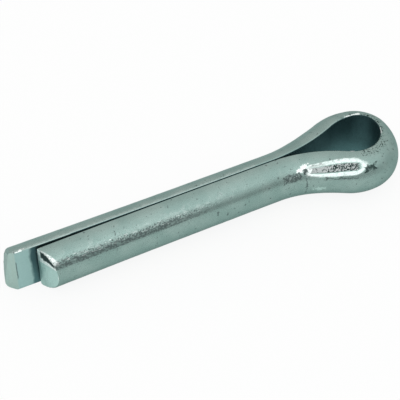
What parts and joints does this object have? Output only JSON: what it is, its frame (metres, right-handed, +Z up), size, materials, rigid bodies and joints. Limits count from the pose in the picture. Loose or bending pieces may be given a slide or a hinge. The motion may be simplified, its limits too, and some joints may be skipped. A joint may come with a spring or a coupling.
{
  "type": "cotter pin",
  "caption": "Split cotter pin: half-round wire folded back on itself, with a pear-shaped eye at the fold and legs of unequal length to bend apart behind a hole.",
  "frame": {"origin": "on the shank's axis, where the closed legs start to open into the eye", "axes": "+X along the shank's axis towards the eye, +Y towards the longer leg, +Z up, across the plane of the eye; the pin lies flat on its side"},
  "size_m": [0.0656, 0.015, 0.0074],
  "materials": {
    "zinc_plate": "zinc plated, satin, with a cool blue-green tint and fine grain"
  },
  "bodies": {
    "root": {"cotter_pin": "zinc_plate"}
  },
  "joints": []
}
